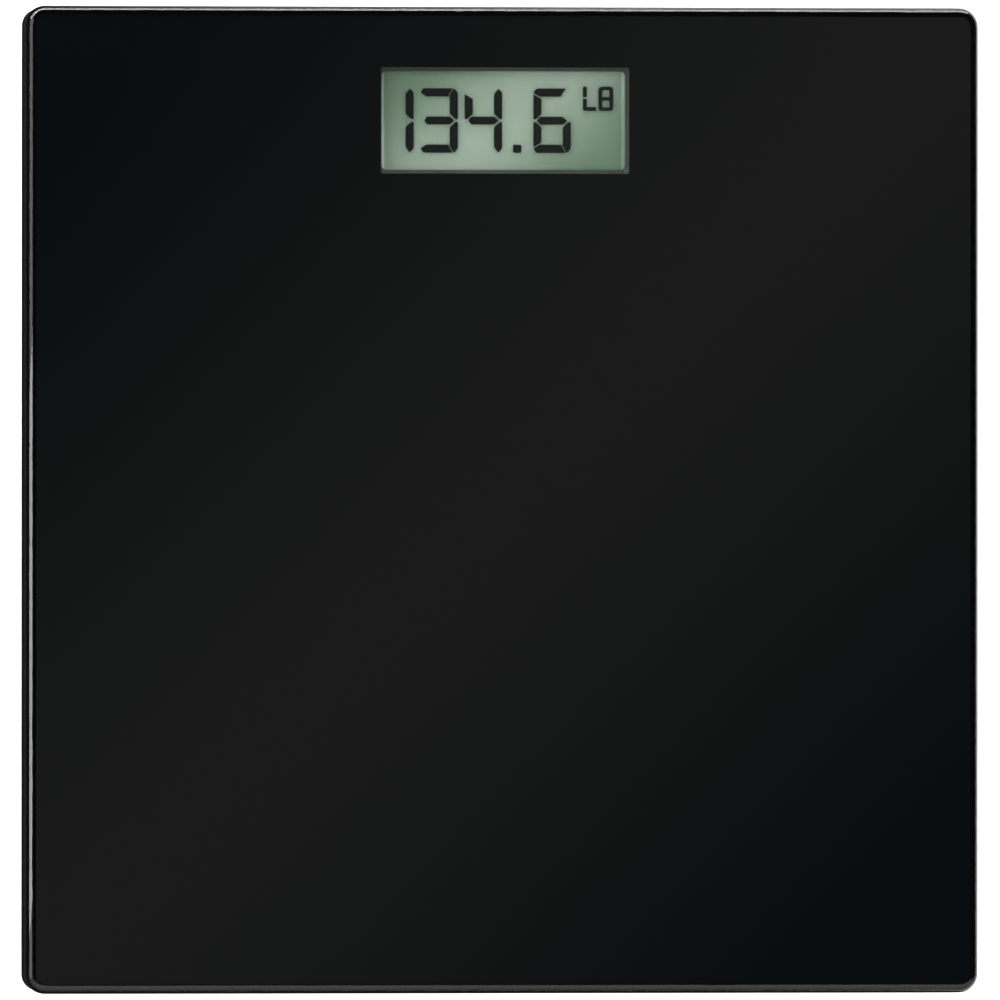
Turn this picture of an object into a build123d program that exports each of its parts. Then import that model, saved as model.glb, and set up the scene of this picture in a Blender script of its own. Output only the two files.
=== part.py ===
from build123d import *
import os

# A digital bathroom scale: a tempered glass platform, black on its underside but for a display window,
# bonded to a moulded tray. Four load cells in the tray's wells press on four feet, and the display, its
# board, the coin cell and the units button are in the tray.
# Origin on the floor below the middle, +Z up, +Y towards the display end, +X to the user's right.

# ---------------------------------------------------------------- driving dimensions, millimetres
PLATE_X = 295.0
PLATE_Y = 300.0
PLATE_R = 6.0
GLASS_T = 6.0
HEIGHT = 24.0
EDGE_R = 2.9
PRINT_T = 0.15
TAPE_T = 0.85
TAPE_W = 2.2
TAPE_INSET = 2.1

TRAY_Z = 5.0
TRAY_INSET = 0.9
SHOULDER_Z = 10.0
TAPER = 5.0
WALL = 3.0
FLOOR_T = 2.2
LEDGE_T = 2.0
LEDGE_W = 4.8
RIB_T = 1.6
WIRE_REST = 11.8
WIRE_D = 1.1
WIRE_PITCH = 1.6
LABEL_X = 70.0
LABEL_Y = 34.0
LABEL_T = 0.2
LABEL_AT = (0, -22.0)

FOOT_INSET = 38.0
PAD_D = 40.0
CUP_D = 46.0
FLANGE_D = 48.4
WELL_D = 49.2
WELL_OUT_D = 59.0
MOUTH_D = 54.0
RING_T = 1.0
RING_BORE_D = 46.7
FOOT_PLAY = 0.4
CUP_Z = 1.2
PAD_T = 2.7
PAD_GROOVES = (13.0, 9.0, 5.0)
GROOVE_W = 1.2
GROOVE_DEPTH = 0.6
POST_D = 9.0
CELL_SIDE = 34.0
CELL_T = 1.6
CELL_Z = 9.3
LAND_Z = 10.9
ROOF_Z = 11.5
ROOF_T = 2.0
CLAMP_Z = 8.0
CLAMP_SCREW_Y = 20.7
SCREW_D = 2.0
SCREW_HEAD_D = 3.6
SCREW_HEAD_T = 1.4
SCREW_GRIP = 3.9
SCREW_CROSS = 2.0
POTTING_X = -10.5
POTTING_T = 2.0
LAND_IN = 27.0
WIRE_SLOT_W = 6.8

DISPLAY_X = 1.0
DISPLAY_Y = 115.4
WINDOW_X = 76.9
WINDOW_Y = 32.3
BEZEL_X = 75.5
BEZEL_Y = 30.0
FRAME_X = 88.0
FRAME_Y = 44.0
BOARD_Z = 9.0
BOARD_T = 1.6
BOARD_X = 96.0
BOARD_FRONT = 88.0
BOARD_REAR = 137.4
BOARD_SCREW_D = 1.6
BOARD_SCREW_HEAD_D = 3.4
BOARD_SCREW_HEAD_T = 1.3
BOARD_SCREW_GRIP = 4.0
LIP_T = 0.8
LCD_X = 80.0
LCD_Y = 36.0
LCD_GLASS_T = 1.1
POLARISER_X = 73.4
FILM_T = 0.2
REAR_GLASS_Y = 30.8
INK_T = 0.05
DIGIT_W = 11.6
DIGIT_H = 19.6
STROKE = 2.5
UNIT_LEFT = 25.05
UNIT_TOP = 10.4
UNIT_H = 7.4
UNIT_W = 4.6
UNIT_STROKE = 1.2
ZEBRA_Y = 16.7
ZEBRA_W = 2.2

BUTTON_X = -26.0
BUTTON_Y = 106.0
BUTTON_D = 9.0
BUTTON_FLANGE_D = 13.0
BUTTON_FLANGE_T = 0.7
SWITCH_SIDE = 6.2
SWITCH_T = 1.6
PLUNGER_D = 3.2

CELL_D = 20.0
COIN_T = 3.2
COIN_Y = 50.5
COIN_Z = 6.9
BOX_X = 28.0
BOX_FRONT = 37.0
BOX_REAR = 67.5
BOX_ROOF_Z = 10.6
DOOR_T = 1.6
DOOR_GAP = 0.3
DOOR_STUB_D = 2.0
DOOR_BARREL_D = 3.4
DOOR_BARREL_X = 22.0
LEAF_T = 0.3

# ---------------------------------------------------------------- heights and places that follow from them
GLASS_Z = HEIGHT - GLASS_T
PRINT_Z = GLASS_Z - PRINT_T
RIM_Z = PRINT_Z - TAPE_T
TRAY_X = PLATE_X - 2 * TRAY_INSET
TRAY_Y = PLATE_Y - 2 * TRAY_INSET
TRAY_R = PLATE_R - TRAY_INSET
INNER_Z = TRAY_Z + FLOOR_T
FLANGE_Z = TRAY_Z + RING_T + FOOT_PLAY
FLANGE_T = 1.3
WIRE_Z = WIRE_REST + WIRE_D / 2
BOARD_TOP = BOARD_Z + BOARD_T
LCD_INK_Z = BOARD_TOP + 2.5
LCD_TOP = LCD_INK_Z + INK_T + LCD_GLASS_T
FILM_TOP = LCD_TOP + FILM_T
HINGE_Y = BOX_REAR - DOOR_GAP - DOOR_BARREL_D / 2
HINGE_Z = TRAY_Z + DOOR_BARREL_D / 2
FOOT_X = PLATE_X / 2 - FOOT_INSET
FOOT_Y = PLATE_Y / 2 - FOOT_INSET
CORNERS = {
    "front_left": (-1, -1),
    "front_right": (1, -1),
    "rear_left": (-1, 1),
    "rear_right": (1, 1),
}
FEET = [(side * FOOT_X, end * FOOT_Y) for side, end in CORNERS.values()]

os.makedirs("parts", exist_ok=True)


def save(piece, node):
    """Labels a finished piece and writes it as one STEP file."""
    piece.part.label = node
    export_step(piece.part, f"parts/{node}.step")


def corner_plane(side, end, z):
    """A level plane at a foot's centre, with its x axis pointing to the nearer long edge of the scale."""
    return Plane(origin=(side * FOOT_X, end * FOOT_Y, z), x_dir=(side, 0, 0), z_dir=(0, 0, 1))


def block(z, x0, x1, y0, y1, height, mode=Mode.ADD):
    """A box between two x and two y places, from height z up, in the part that is being built."""
    with BuildSketch(Plane.XY.offset(z)) as outline:
        with Locations(((x0 + x1) / 2, (y0 + y1) / 2)):
            Rectangle(x1 - x0, y1 - y0)
    extrude(outline.sketch, amount=height, mode=mode)


# ---------------------------------------------------------------- glass platform and its back print
with BuildPart() as glass_platform:
    with BuildSketch(Plane.XY.offset(GLASS_Z)):
        RectangleRounded(PLATE_X, PLATE_Y, PLATE_R)
    extrude(amount=GLASS_T)
    # the edge is ground to a pencil round, so the flat faces stop short of it
    fillet(glass_platform.faces().filter_by(Axis.Z).edges(), EDGE_R)
save(glass_platform, "glass_platform")

with BuildPart() as back_print:
    with BuildSketch(Plane.XY.offset(PRINT_Z)):
        RectangleRounded(PLATE_X - 2 * EDGE_R, PLATE_Y - 2 * EDGE_R, PLATE_R - EDGE_R)
        with Locations((DISPLAY_X, DISPLAY_Y)):
            RectangleRounded(WINDOW_X, WINDOW_Y, 0.6, mode=Mode.SUBTRACT)
    extrude(amount=PRINT_T)
save(back_print, "back_print")

with BuildPart() as bonding_tape:
    with BuildSketch(Plane.XY.offset(RIM_Z)):
        RectangleRounded(TRAY_X - 2 * TAPE_INSET, TRAY_Y - 2 * TAPE_INSET, TRAY_R - TAPE_INSET)
        inner = TAPE_INSET + TAPE_W
        RectangleRounded(TRAY_X - 2 * inner, TRAY_Y - 2 * inner, TRAY_R - inner, mode=Mode.SUBTRACT)
        with Locations(*FEET):
            Circle(WELL_OUT_D / 2 - 0.5)
    extrude(amount=TAPE_T)
save(bonding_tape, "bonding_tape")


# ---------------------------------------------------------------- base tray
def tray_shell():
    """The tray's outside, upright at the rim and drawn in below the shoulder, hollowed to an even wall."""
    ledge_z = RIM_Z - LEDGE_T
    for inset, floor, top, mode in ((0, TRAY_Z, RIM_Z, Mode.ADD), (WALL, INNER_Z, ledge_z, Mode.SUBTRACT)):
        x, y, r = TRAY_X - 2 * inset, TRAY_Y - 2 * inset, TRAY_R - inset
        drawn = TAPER * (SHOULDER_Z - floor) / (SHOULDER_Z - TRAY_Z)
        with BuildSketch(Plane.XY.offset(SHOULDER_Z)) as shoulder:
            RectangleRounded(x, y, r)
        with BuildSketch(Plane.XY.offset(floor)) as bottom:
            RectangleRounded(x - 2 * drawn, y - 2 * drawn, r)
        extrude(shoulder.sketch, amount=top - SHOULDER_Z, mode=mode)
        loft([bottom.sketch, shoulder.sketch], ruled=True, mode=mode)
    # the rim's ledge, wide enough for the bonding tape
    with BuildSketch(Plane.XY.offset(ledge_z)) as mouth:
        RectangleRounded(TRAY_X - 2 * LEDGE_W, TRAY_Y - 2 * LEDGE_W, TRAY_R - LEDGE_W)
    extrude(mouth.sketch, amount=LEDGE_T, mode=Mode.SUBTRACT)


def tray_ribs():
    """Stiffening ribs on the tray's floor, whose tops carry the load cells' wires."""
    reach_x = TRAY_X / 2 - WALL - 2.0
    reach_y = TRAY_Y / 2 - WALL - 2.0
    height = WIRE_REST - INNER_Z + 0.5
    for y in (-80.0, -40.0, -5.0, 30.0, 80.0):
        block(INNER_Z - 0.5, -reach_x, reach_x, y - RIB_T / 2, y + RIB_T / 2, height)
    for x, far in ((-72.0, reach_y), (-30.0, 80.0), (30.0, 80.0), (72.0, reach_y)):
        block(INNER_Z - 0.5, x - RIB_T / 2, x + RIB_T / 2, -reach_y, far, height)


def tray_well(side, end):
    """A round well over a foot: its roof bears on the load cell, and its wall and ribs on the glass."""
    above_roof = ROOF_Z + ROOF_T
    for z, top, diameter, mode in (
        (TRAY_Z, RIM_Z, WELL_OUT_D, Mode.ADD),
        (TRAY_Z, ROOF_Z, WELL_D, Mode.SUBTRACT),
        (TRAY_Z, TRAY_Z + RING_T, MOUTH_D, Mode.SUBTRACT),
    ):
        with BuildSketch(corner_plane(side, end, z)) as bore:
            Circle(diameter / 2)
        extrude(bore.sketch, amount=top - z, mode=mode)
    with BuildSketch(corner_plane(side, end, LAND_Z)) as land:
        RectangleRounded(CELL_SIDE, CELL_SIDE, 3.0)
        Rectangle(LAND_IN, LAND_IN, mode=Mode.SUBTRACT)
    extrude(land.sketch, amount=ROOF_Z - LAND_Z + 0.2)
    with BuildSketch(corner_plane(side, end, above_roof)) as quarters:
        Circle(WELL_D / 2)
        Rectangle(WELL_D, RIB_T, mode=Mode.SUBTRACT)
        Rectangle(RIB_T, WELL_D, mode=Mode.SUBTRACT)
    extrude(quarters.sketch, amount=RIM_Z - above_roof, mode=Mode.SUBTRACT)
    with BuildSketch(corner_plane(side, end, LAND_Z)) as wire_slot:
        with Locations((-19.0, 0)):
            Rectangle(24.0, WIRE_SLOT_W)
    extrude(wire_slot.sketch, amount=above_roof + 1.0 - LAND_Z, mode=Mode.SUBTRACT)
    with BuildSketch(corner_plane(side, end, ROOF_Z)) as pilots:
        with Locations((0, CLAMP_SCREW_Y), (0, -CLAMP_SCREW_Y)):
            Circle(SCREW_D / 2)
    extrude(pilots.sketch, amount=ROOF_T, mode=Mode.SUBTRACT)


def tray_battery_box():
    """A box in the floor for the coin cell, open below for the door, with sockets for the door's stubs."""
    wall = 1.6
    side = BOX_X / 2
    hinge_wall_y = HINGE_Y - 2.0
    top = BOX_ROOF_Z + 0.9
    block(TRAY_Z, -side - wall, side + wall, BOX_FRONT - wall, BOX_REAR + wall, top - TRAY_Z)
    block(TRAY_Z, -side, side, BOX_FRONT, BOX_REAR, BOX_ROOF_Z - TRAY_Z, Mode.SUBTRACT)
    block(COIN_Z + 0.3, -side - 0.5, side + 0.5, BOX_FRONT - 0.5, 61.9, BOX_ROOF_Z - COIN_Z)
    with BuildSketch(Plane.XY.offset(COIN_Z)) as cradle:
        with Locations((0, COIN_Y)):
            Circle(CELL_D / 2 + 0.3)
    extrude(cradle.sketch, amount=BOX_ROOF_Z - COIN_Z, mode=Mode.SUBTRACT)
    # a bracket at each end of the hinge, bored for the door's stub
    inner = DOOR_BARREL_X / 2 + 0.4
    for low, high in ((-side - 0.5, -inner), (inner, side + 0.5)):
        block(TRAY_Z, low, high, hinge_wall_y, BOX_REAR + 0.5, BOX_ROOF_Z + 0.3 - TRAY_Z)
    with BuildSketch(Plane.YZ.offset(-side - 0.8)) as socket:
        with Locations((HINGE_Y, HINGE_Z)):
            Circle(DOOR_STUB_D / 2 + 0.05)
    extrude(socket.sketch, amount=BOX_X + 1.6, mode=Mode.SUBTRACT)
    # the slots that the contact leaves come up through
    block(COIN_Z + 0.3, -2.2, 2.2, COIN_Y + 8.0, 60.2, top - COIN_Z, Mode.SUBTRACT)
    block(COIN_Z + 0.3, 9.9, 10.5, COIN_Y - 2.7, COIN_Y + 2.7, top - COIN_Z, Mode.SUBTRACT)
    # a finger scoop at the door's free edge
    with BuildSketch(Plane.XY.offset(TRAY_Z)) as scoop:
        with Locations((0, BOX_FRONT)):
            SlotOverall(16.0, 9.0)
        with Locations((0, BOX_FRONT + 5.0)):
            Rectangle(30.0, 10.0, mode=Mode.SUBTRACT)
    extrude(scoop.sketch, amount=1.4, mode=Mode.SUBTRACT)


def tray_button_hole():
    """A thinned place in the floor under the switch, with the hole that the units button slides in."""
    for z, diameter, depth in (
        (TRAY_Z + 1.0, BUTTON_FLANGE_D + 1.6, 4.0),
        (TRAY_Z, BUTTON_D + 0.7, 2.0),
    ):
        with BuildSketch(Plane.XY.offset(z)) as hole:
            with Locations((BUTTON_X, BUTTON_Y)):
                Circle(diameter / 2)
        extrude(hole.sketch, amount=depth, mode=Mode.SUBTRACT)


POSTS = ((-30.0, 134.0), (-30.0, 91.5), (32.0, 134.0), (32.0, 91.5))
with BuildPart() as base_tray:
    tray_shell()
    tray_ribs()
    for side, end in CORNERS.values():
        tray_well(side, end)
    tray_battery_box()
    tray_button_hole()
    with BuildSketch(Plane.XY.offset(INNER_Z - 0.5)):
        with Locations(*POSTS):
            Circle(3.0)
    extrude(amount=BOARD_Z - INNER_Z + 0.5)
    with BuildSketch(Plane.XY.offset(TRAY_Z)):
        with Locations(LABEL_AT):
            RectangleRounded(LABEL_X + 0.6, LABEL_Y + 0.6, 2.3)
    extrude(amount=LABEL_T, mode=Mode.SUBTRACT)
save(base_tray, "base_tray")

with BuildPart() as rating_label:
    with BuildSketch(Plane.XY.offset(TRAY_Z)):
        with Locations(LABEL_AT):
            RectangleRounded(LABEL_X, LABEL_Y, 2.0)
    extrude(amount=LABEL_T)
save(rating_label, "rating_label")


# ---------------------------------------------------------------- feet and load cells
def foot_ring(side, end):
    """The ring pressed into a well's mouth, which keeps the foot's flange inside."""
    with BuildPart() as ring:
        with BuildSketch(corner_plane(side, end, TRAY_Z)):
            Circle(MOUTH_D / 2 - 0.05)
            Circle(RING_BORE_D / 2, mode=Mode.SUBTRACT)
        extrude(amount=RING_T)
    return ring


def foot_cup(side, end):
    """The foot's moulded cup: a seat for the pad below, a flange above and a post to the load cell."""
    seat = PAD_T
    web_top = seat + 1.5
    with BuildPart() as cup:
        with BuildSketch(corner_plane(side, end, CUP_Z)):
            Circle(CUP_D / 2)
        extrude(amount=FLANGE_Z + FLANGE_T - CUP_Z)
        with BuildSketch(corner_plane(side, end, FLANGE_Z)):
            Circle(FLANGE_D / 2)
        extrude(amount=FLANGE_T)
        chamfer(cup.faces().sort_by(Axis.Z)[0].edges(), 0.5)
        with BuildSketch(corner_plane(side, end, CUP_Z)):
            Circle(PAD_D / 2)
        extrude(amount=seat - CUP_Z, mode=Mode.SUBTRACT)
        with BuildSketch(corner_plane(side, end, web_top)):
            Circle(CUP_D / 2 - 2.5)
            Rectangle(CUP_D, RIB_T, mode=Mode.SUBTRACT)
            Rectangle(RIB_T, CUP_D, mode=Mode.SUBTRACT)
        extrude(amount=FLANGE_Z + FLANGE_T - web_top, mode=Mode.SUBTRACT)
        with BuildSketch(corner_plane(side, end, web_top)):
            Circle(POST_D / 2)
        extrude(amount=CELL_Z - web_top)
    return cup


def foot_pad(side, end):
    """The rubber pad bonded in the cup, with ring grooves moulded in its tread."""
    with BuildPart() as pad:
        with BuildSketch(corner_plane(side, end, 0)):
            Circle(PAD_D / 2)
        extrude(amount=PAD_T)
        chamfer(pad.faces().sort_by(Axis.Z)[0].edges(), 0.7)
        with BuildSketch(corner_plane(side, end, 0)):
            for radius in PAD_GROOVES:
                Circle(radius + GROOVE_W / 2)
                Circle(radius - GROOVE_W / 2, mode=Mode.SUBTRACT)
        extrude(amount=GROOVE_DEPTH, mode=Mode.SUBTRACT)
    return pad


def load_cell(side, end):
    """The stamped steel load cell: a square frame with a tongue that the foot's post bends."""
    with BuildPart() as cell:
        with BuildSketch(corner_plane(side, end, CELL_Z)):
            RectangleRounded(CELL_SIDE, CELL_SIDE, 3.0)
            with Locations((1.0, 7.0), (1.0, -7.0)):
                SlotOverall(18.0, 2.0, mode=Mode.SUBTRACT)
            with Locations((9.0, 0)):
                SlotOverall(16.0, 2.0, rotation=90, mode=Mode.SUBTRACT)
        extrude(amount=CELL_T)
    return cell


def gauge_potting(side, end):
    """The silicone that seals the strain gauge and the three soldered wires on the tongue's neck."""
    with BuildPart() as potting:
        with BuildSketch(corner_plane(side, end, LAND_Z)):
            with Locations((POTTING_X, 0)):
                RectangleRounded(7.0, 6.0, 1.2)
        extrude(amount=POTTING_T)
        fillet(potting.faces().sort_by(Axis.Z)[-1].edges(), 0.5)
    return potting


def load_cell_clamp(side, end):
    """The moulded frame that holds the load cell's rim up against its land."""
    with BuildPart() as clamp:
        with BuildSketch(corner_plane(side, end, CLAMP_Z)):
            Circle(WELL_D / 2 - 0.3)
            RectangleRounded(LAND_IN, LAND_IN, 2.0, mode=Mode.SUBTRACT)
        extrude(amount=ROOF_Z - CLAMP_Z)
        with BuildSketch(corner_plane(side, end, CELL_Z)):
            Rectangle(CELL_SIDE + 0.4, CELL_SIDE + 0.4)
            with Locations((-20.0, 0)):
                Rectangle(10.0, 8.0)
        extrude(amount=ROOF_Z - CELL_Z, mode=Mode.SUBTRACT)
        with BuildSketch(corner_plane(side, end, CLAMP_Z)):
            with Locations((0, CLAMP_SCREW_Y), (0, -CLAMP_SCREW_Y)):
                Circle(SCREW_D / 2)
        extrude(amount=ROOF_Z - CLAMP_Z, mode=Mode.SUBTRACT)
        with BuildSketch(corner_plane(side, end, CLAMP_Z)):
            with Locations((0, CLAMP_SCREW_Y), (0, -CLAMP_SCREW_Y)):
                Circle(SCREW_HEAD_D / 2 + 0.1)
        extrude(amount=SCREW_HEAD_T, mode=Mode.SUBTRACT)
    return clamp


def parallel_route(points, gap):
    """The route shifted sideways by gap, with its corners mitred."""
    shifted = []
    for i, (x, y) in enumerate(points):
        before, after = points[max(i - 1, 0)], points[min(i + 1, len(points) - 1)]
        into = Vector(x - before[0], y - before[1]) if i else Vector(after[0] - x, after[1] - y)
        out = Vector(after[0] - x, after[1] - y) if i < len(points) - 1 else into
        into, out = into.normalized(), out.normalized()
        normal = Vector(-into.Y - out.Y, into.X + out.X).normalized()
        reach = gap / (normal.X * -into.Y + normal.Y * into.X)
        shifted.append((x + normal.X * reach, y + normal.Y * reach))
    return shifted


def wire(points, radii):
    """One insulated wire lying level on the ribs, with an arc at each corner of its route."""
    start, nxt = points[0], points[1]
    places = [(x, y, WIRE_Z) for x, y in points]
    with BuildPart() as lead:
        with BuildLine():
            if radii:
                FilletPolyline(*places, radius=radii)
            else:
                Line(*places)
        with BuildSketch(Plane(origin=places[0], z_dir=(nxt[0] - start[0], nxt[1] - start[1], 0))):
            Circle(WIRE_D / 2)
        sweep()
    return lead


def foot_wires(side, end):
    """The three wires from a load cell to the pads at the board's side edge."""
    start = (side * (FOOT_X - 14.0), end * FOOT_Y)
    pad_x = DISPLAY_X + side * (BOARD_X / 2 - 2.0)
    if end > 0:
        route, radii = [start, (pad_x, FOOT_Y)], []
    else:
        route = [start, (side * 62.0, -FOOT_Y), (side * 62.0, 98.0), (pad_x, 98.0)]
        radii = [24.0, 11.0]
    wires, ends = [], []
    for gap in (-WIRE_PITCH, 0, WIRE_PITCH):
        turn = 0 if end > 0 else gap * side
        points = parallel_route(route, gap)
        wires.append(wire(points, [radius + turn for radius in radii]))
        ends.append(points[-1])
    with BuildPart() as leads:
        for one in wires:
            add(one.part)
    return leads, ends


def clamp_screws():
    """The eight cross-head screws that hold the load cell clamps, two to a well."""
    cross_depth = 0.8
    with BuildPart() as screws:
        for side, end in CORNERS.values():
            for low, high, diameter in (
                (CLAMP_Z, CLAMP_Z + SCREW_HEAD_T, SCREW_HEAD_D),
                (CLAMP_Z + SCREW_HEAD_T, CLAMP_Z + SCREW_HEAD_T + SCREW_GRIP, SCREW_D),
            ):
                with BuildSketch(corner_plane(side, end, low)) as bar:
                    with Locations((0, CLAMP_SCREW_Y), (0, -CLAMP_SCREW_Y)):
                        Circle(diameter / 2)
                extrude(bar.sketch, amount=high - low)
            with BuildSketch(corner_plane(side, end, CLAMP_Z)) as cross:
                with Locations((0, CLAMP_SCREW_Y), (0, -CLAMP_SCREW_Y)):
                    Rectangle(SCREW_CROSS, SCREW_CROSS / 4)
                    Rectangle(SCREW_CROSS / 4, SCREW_CROSS)
            extrude(cross.sketch, amount=cross_depth, mode=Mode.SUBTRACT)
    return screws


PER_FOOT = {
    "foot_ring": foot_ring,
    "foot_cup": foot_cup,
    "foot_pad": foot_pad,
    "load_cell": load_cell,
    "gauge_potting": gauge_potting,
    "load_cell_clamp": load_cell_clamp,
}
pads = []
for corner, (side, end) in CORNERS.items():
    for kind, make in PER_FOOT.items():
        save(make(side, end), f"{kind}_{corner}")
    leads, ends = foot_wires(side, end)
    save(leads, f"load_cell_wires_{corner}")
    pads += ends
save(clamp_screws(), "clamp_screws")


# ---------------------------------------------------------------- display module
def at_display(z):
    """A level plane with its origin at the middle of the display."""
    return Plane(origin=(DISPLAY_X, DISPLAY_Y, z))


SCREW_INSET = 2.1
FRAME_SCREWS = [
    (x * (FRAME_X / 2 - SCREW_INSET), y * (FRAME_Y / 2 - SCREW_INSET)) for x in (-1, 1) for y in (-1, 1)
]

with BuildPart() as display_frame:
    with BuildSketch(at_display(BOARD_TOP)):
        RectangleRounded(FRAME_X, FRAME_Y, 1.5)
    extrude(amount=RIM_Z - BOARD_TOP)
    with BuildSketch(at_display(BOARD_TOP)):
        Rectangle(LCD_X + 0.4, LCD_Y + 0.4)
    extrude(amount=FILM_TOP - BOARD_TOP, mode=Mode.SUBTRACT)
    with BuildSketch(at_display(FILM_TOP)):
        RectangleRounded(BEZEL_X, BEZEL_Y, 1.6)
    extrude(amount=LIP_T, mode=Mode.SUBTRACT)
    with BuildSketch(at_display(FILM_TOP + LIP_T)):
        RectangleRounded(BEZEL_X, BEZEL_Y, 1.6)
    with BuildSketch(at_display(RIM_Z)):
        RectangleRounded(WINDOW_X + 0.6, WINDOW_Y + 0.4, 1.6)
    loft(ruled=True, mode=Mode.SUBTRACT)
    with BuildSketch(at_display(BOARD_TOP)):
        with Locations(*FRAME_SCREWS):
            Circle(BOARD_SCREW_D / 2)
    extrude(amount=BOARD_SCREW_GRIP, mode=Mode.SUBTRACT)
save(display_frame, "display_frame")

with BuildPart() as display_gasket:
    with BuildSketch(at_display(RIM_Z)):
        RectangleRounded(FRAME_X - 1.6, FRAME_Y - 1.6, 1.0)
        RectangleRounded(WINDOW_X + 1.4, WINDOW_Y + 1.4, 1.6, mode=Mode.SUBTRACT)
    extrude(amount=TAPE_T)
save(display_gasket, "display_gasket")

LCD_LAYERS = {
    "lcd_reflector": (LCD_INK_Z - LCD_GLASS_T - FILM_T, 78.0, REAR_GLASS_Y - 0.6, FILM_T),
    "lcd_rear_glass": (LCD_INK_Z - LCD_GLASS_T, LCD_X, REAR_GLASS_Y, LCD_GLASS_T),
    "lcd_front_glass": (LCD_INK_Z + INK_T, LCD_X, LCD_Y, LCD_GLASS_T),
    "lcd_front_polariser": (LCD_TOP, POLARISER_X, 31.6, FILM_T),
}
for layer, (z, width, depth, thick) in LCD_LAYERS.items():
    with BuildPart() as sheet:
        with BuildSketch(at_display(z)):
            Rectangle(width, depth)
        extrude(amount=thick)
    save(sheet, layer)


def segment_outline(name):
    """One segment of a digit, with the digit's lower left corner at the origin."""
    w, h, t = DIGIT_W, DIGIT_H, STROKE
    mid, half, tip, gap = h / 2, 0.48 * t, 1.15, 0.45
    upper_right = [
        (w, h - 1.4), (w - 1.15, h), (w - t, h - 1.8),
        (w - t, mid + 2.1), (w - 0.8, mid + gap), (w, mid + gap),
    ]
    upper_left = [
        (0, h - 1.75), (t, h - t - 0.75), (t, mid + 2.1), (0.8, mid + gap), (0, mid + gap),
    ]
    top = [
        (1.0, h), (w - 1.5, h), (w - t - 0.35, h - 1.8), (w - t - 0.35, h - t), (1.85, h - t), (0, h - 1.3),
    ]
    middle = [
        (tip, mid), (tip + 0.9, mid + half), (w - t, mid + half), (w - tip, mid), (w - t, mid - half),
        (tip + 0.9, mid - half),
    ]
    outlines = {"a": top, "b": upper_right, "f": upper_left, "g": middle}
    mirrored = {"d": "a", "c": "b", "e": "f"}
    if name in mirrored:
        return [(x, h - y) for x, y in outlines[mirrored[name]]]
    return outlines[name]


SHOWN = (("bc", -27.4), ("abcdg", -13.7), ("bcfg", 0.0), ("acdefg", 21.3))
POINT_X = 4.7
with BuildPart() as lcd_segments:
    with BuildSketch(at_display(LCD_INK_Z)):
        for names, right in SHOWN:
            for name in names:
                corners = [(x + right - DIGIT_W, y - DIGIT_H / 2) for x, y in segment_outline(name)]
                with BuildLine():
                    Polyline(*corners, close=True)
                make_face()
        with Locations((POINT_X, (STROKE - DIGIT_H) / 2)):
            RectangleRounded(2.6, STROKE, 0.5)
        # the unit sign, an L and a B
        foot_y = UNIT_TOP - UNIT_H
        with Locations((UNIT_LEFT + UNIT_STROKE / 2, UNIT_TOP - 1.6)):
            RectangleRounded(UNIT_STROKE, 3.2, 0.3)
        with Locations((UNIT_LEFT + UNIT_STROKE / 2, foot_y + 1.95)):
            RectangleRounded(UNIT_STROKE, 3.5, 0.3)
        with Locations((UNIT_LEFT + 2.3, foot_y + UNIT_STROKE / 2)):
            RectangleRounded(3.6, UNIT_STROKE, 0.3)
        b_middle = UNIT_LEFT + 4.8 + UNIT_W / 2
        with Locations((b_middle, UNIT_TOP - UNIT_H / 2)):
            RectangleRounded(UNIT_W, UNIT_H, 1.1)
        with Locations((b_middle, UNIT_TOP - UNIT_H / 4 - 0.27), (b_middle, foot_y + UNIT_H / 4 + 0.27)):
            RectangleRounded(UNIT_W - 2 * UNIT_STROKE, 2.1, 0.4, mode=Mode.SUBTRACT)
    extrude(amount=INK_T)
save(lcd_segments, "lcd_segments")

for end_name, end_side in (("front", -1), ("rear", 1)):
    with BuildPart() as zebra_strip:
        with BuildSketch(at_display(BOARD_TOP)):
            with Locations((0, end_side * ZEBRA_Y)):
                Rectangle(72.0, ZEBRA_W)
        extrude(amount=LCD_INK_Z + INK_T - BOARD_TOP)
    save(zebra_strip, f"zebra_strip_{end_name}")

LEAD_PADS = [(-11.0, 90.5), (11.0, 90.5)]
with BuildPart() as circuit_board:
    with BuildSketch(Plane.XY.offset(BOARD_Z)):
        with Locations((DISPLAY_X, (BOARD_FRONT + BOARD_REAR) / 2)):
            RectangleRounded(BOARD_X, BOARD_REAR - BOARD_FRONT, 1.0)
    extrude(amount=BOARD_T)
    with BuildSketch(at_display(BOARD_Z)):
        with Locations(*FRAME_SCREWS):
            Circle(BOARD_SCREW_D / 2 + 0.2)
    extrude(amount=BOARD_T, mode=Mode.SUBTRACT)
save(circuit_board, "circuit_board")

with BuildPart() as board_screws:
    with BuildSketch(at_display(BOARD_Z - BOARD_SCREW_HEAD_T)):
        with Locations(*FRAME_SCREWS):
            Circle(BOARD_SCREW_HEAD_D / 2)
    extrude(amount=BOARD_SCREW_HEAD_T)
    chamfer(board_screws.faces().group_by(Axis.Z)[0].edges(), 0.4)
    with BuildSketch(at_display(BOARD_Z - BOARD_SCREW_HEAD_T)):
        with Locations(*FRAME_SCREWS):
            Rectangle(SCREW_CROSS, SCREW_CROSS / 4)
            Rectangle(SCREW_CROSS / 4, SCREW_CROSS)
    extrude(amount=BOARD_SCREW_HEAD_T / 2, mode=Mode.SUBTRACT)
    with BuildSketch(at_display(BOARD_Z)):
        with Locations(*FRAME_SCREWS):
            Circle(BOARD_SCREW_D / 2)
    extrude(amount=BOARD_T + 3.5)
save(board_screws, "board_screws")

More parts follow.
